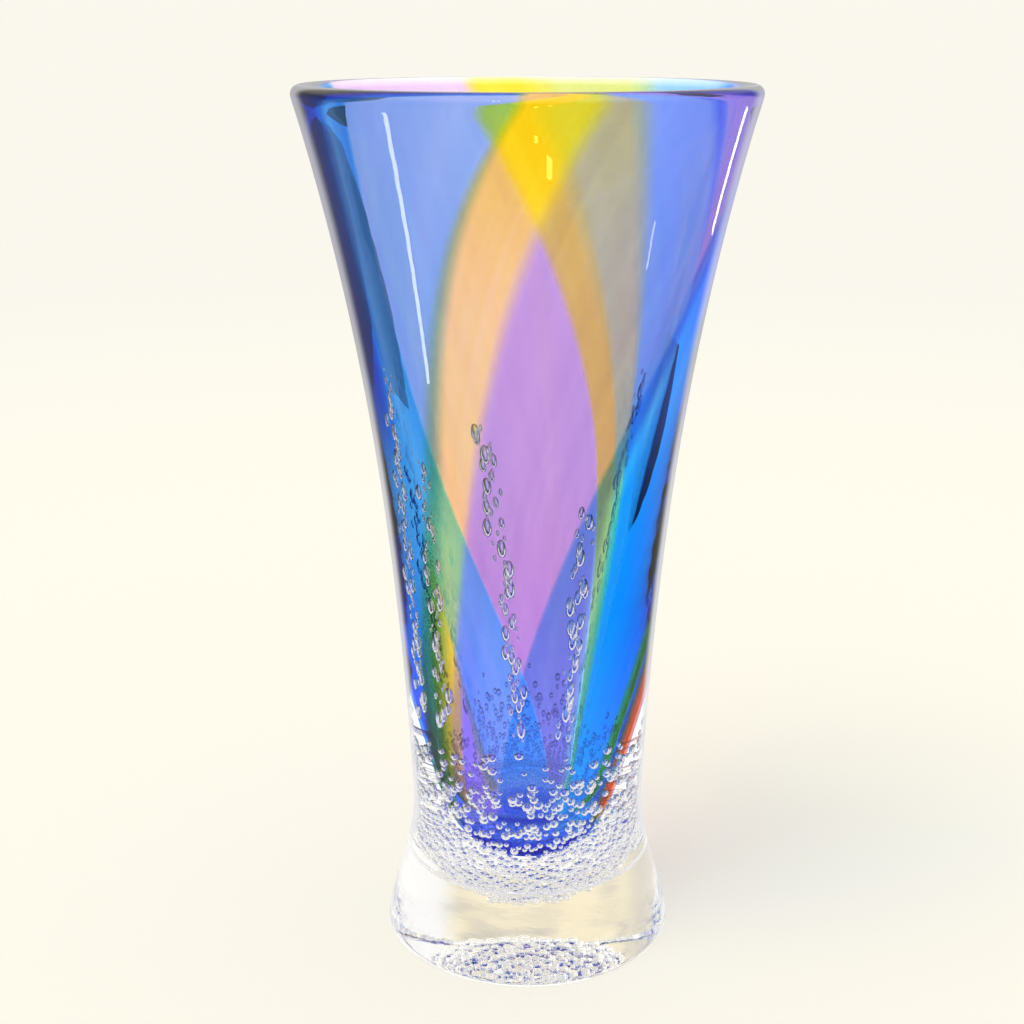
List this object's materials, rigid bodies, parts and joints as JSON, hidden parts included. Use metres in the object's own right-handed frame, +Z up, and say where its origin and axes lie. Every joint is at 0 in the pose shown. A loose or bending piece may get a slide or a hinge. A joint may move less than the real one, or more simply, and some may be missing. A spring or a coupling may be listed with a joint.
{
  "type": "glass vase",
  "caption": "Tall flared blown glass vase on a clear foot, with twisted colour stripes cased in clear glass and trapped bubbles, for holding flowers.",
  "frame": {"origin": "centre of the foot's flat underside, on the surface that the vase stands on", "axes": "+Z up along the vase's axis; -Y is the side that the picture shows, +X to its right"},
  "size_m": [0.1544, 0.1544, 0.305],
  "materials": {
    "clear_glass": "fire polished",
    "clear_core_glass": "fire polished",
    "sky_blue_glass": "fused, translucent",
    "yellow_glass": "fused, translucent",
    "lilac_glass": "fused, translucent",
    "cobalt_glass": "fused, translucent",
    "trapped_air": "bright bubble skin"
  },
  "bodies": {
    "root": {"inner_gather": "clear_core_glass", "sky_blue_stripe_1": "sky_blue_glass", "yellow_stripe_1": "yellow_glass", "lilac_stripe_1": "lilac_glass", "sky_blue_stripe_2": "sky_blue_glass", "yellow_stripe_2": "yellow_glass", "lilac_stripe_2": "lilac_glass", "cobalt_cap": "cobalt_glass", "second_gather": "clear_core_glass", "bubble_floor": "trapped_air", "bubble_collar": "trapped_air", "bubble_stream_1": "trapped_air", "bubble_stream_2": "trapped_air", "bubble_stream_3": "trapped_air", "bubble_stream_4": "trapped_air", "bubble_stream_5": "trapped_air", "clear_casing": "clear_glass", "foot": "clear_glass"}
  },
  "joints": []
}
